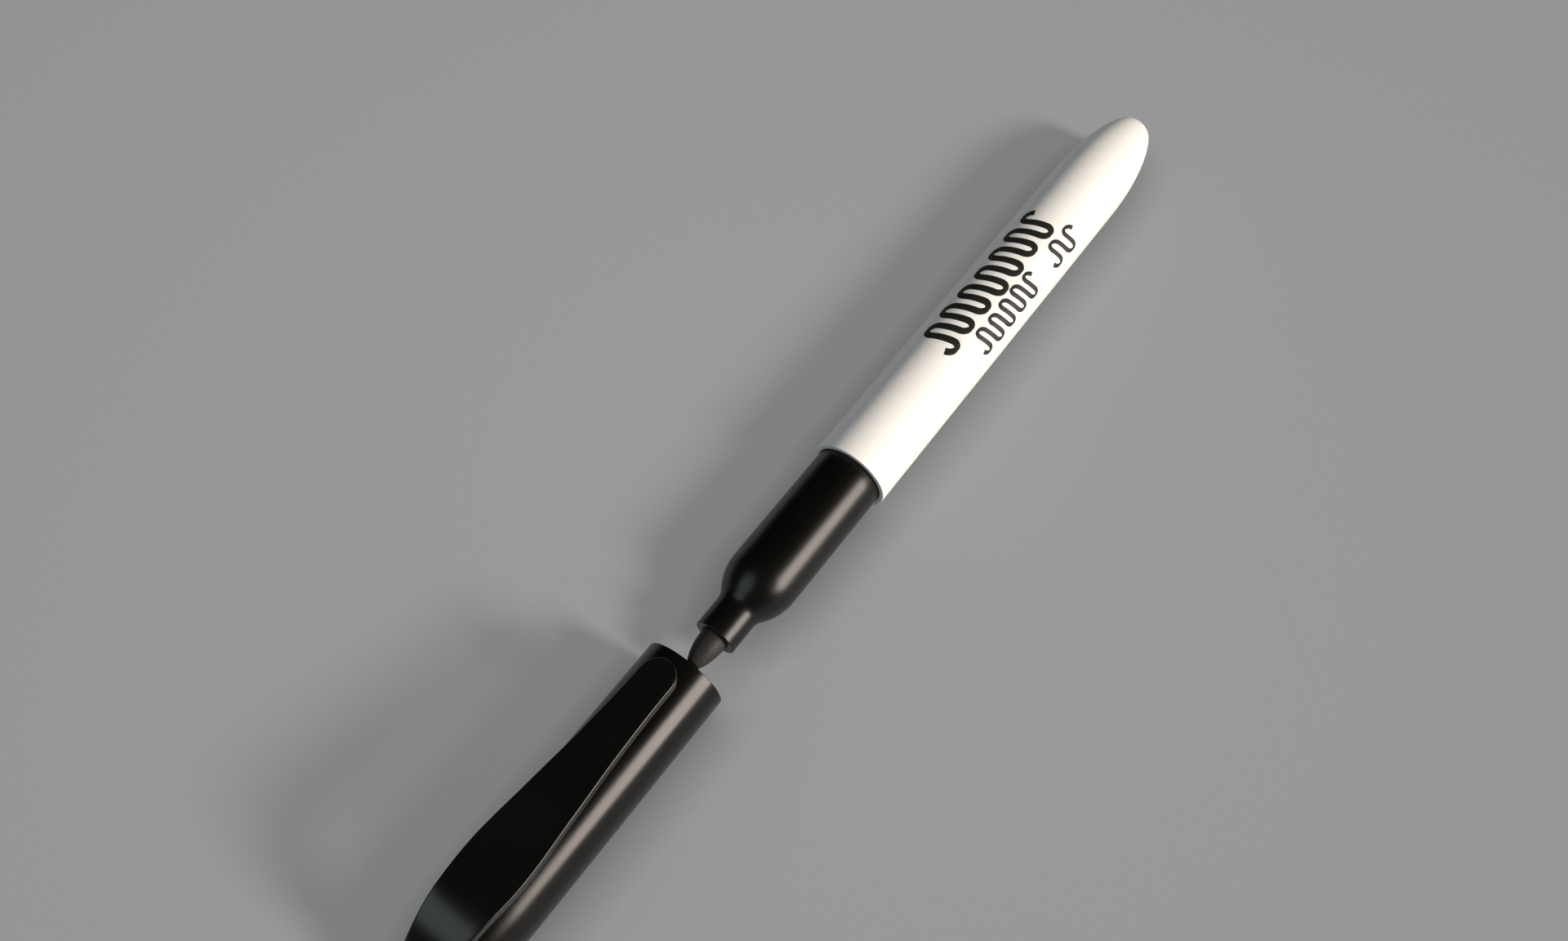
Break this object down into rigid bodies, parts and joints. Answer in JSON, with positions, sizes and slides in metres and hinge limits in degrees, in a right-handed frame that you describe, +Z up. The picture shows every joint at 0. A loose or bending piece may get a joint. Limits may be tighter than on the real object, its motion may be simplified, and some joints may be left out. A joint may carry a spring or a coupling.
{
  "type": "felt tip marker",
  "caption": "Slim whiteboard marker with a bullet felt nib, a fibre ink reservoir and a pull-off cap with a flat pocket clip, shown uncapped and lying down.",
  "frame": {"origin": "centre of the flat end of the barrel's tail, on the marker's axis", "axes": "+X along the marker's axis from the tail towards the nib and the cap; +Z up, the way the pocket clip faces (turned 4 degrees towards +Y)"},
  "size_m": [0.1716, 0.012, 0.0204],
  "materials": {
    "barrel_plastic": "glossy white moulded polypropylene",
    "section_plastic": "satin black moulded polypropylene",
    "nib_felt": "dense ink-stained felt",
    "reservoir_fibre": "ink-soaked polyester fibre bundle",
    "reservoir_wrap": "thin clear film",
    "breather_plastic": "natural extruded plastic",
    "cap_plastic": "satin black moulded polypropylene",
    "liner_plastic": "soft natural polyethylene"
  },
  "bodies": {
    "marker": {"barrel": "barrel_plastic", "nib_section": "section_plastic", "nib": "nib_felt", "reservoir_core": "reservoir_fibre", "reservoir_film": "reservoir_wrap", "breather_tube": "breather_plastic"},
    "liner": {"cap_liner": "liner_plastic"},
    "cap": {"cap_shell": "cap_plastic"},
    "clip": {"cap_clip": "cap_plastic"}
  },
  "joints": [
    {"name": "cap_slide", "type": "slide", "parent": "marker", "child": "liner", "axis": [-1, 0, 0], "range_m": [0, 0.037]},
    {"name": "cap_turn", "type": "hinge", "parent": "liner", "child": "cap", "pos_m": [0.1192, 0, 0], "axis": [1, 0, 0], "continuous": true},
    {"name": "clip_flex", "type": "hinge", "parent": "cap", "child": "clip", "pos_m": [0.1668, 0.00028, 0.00404], "axis": [0, 0.9976, -0.0698], "range_deg": [0, 4], "stiffness_Nm_per_rad": 0.05}
  ]
}
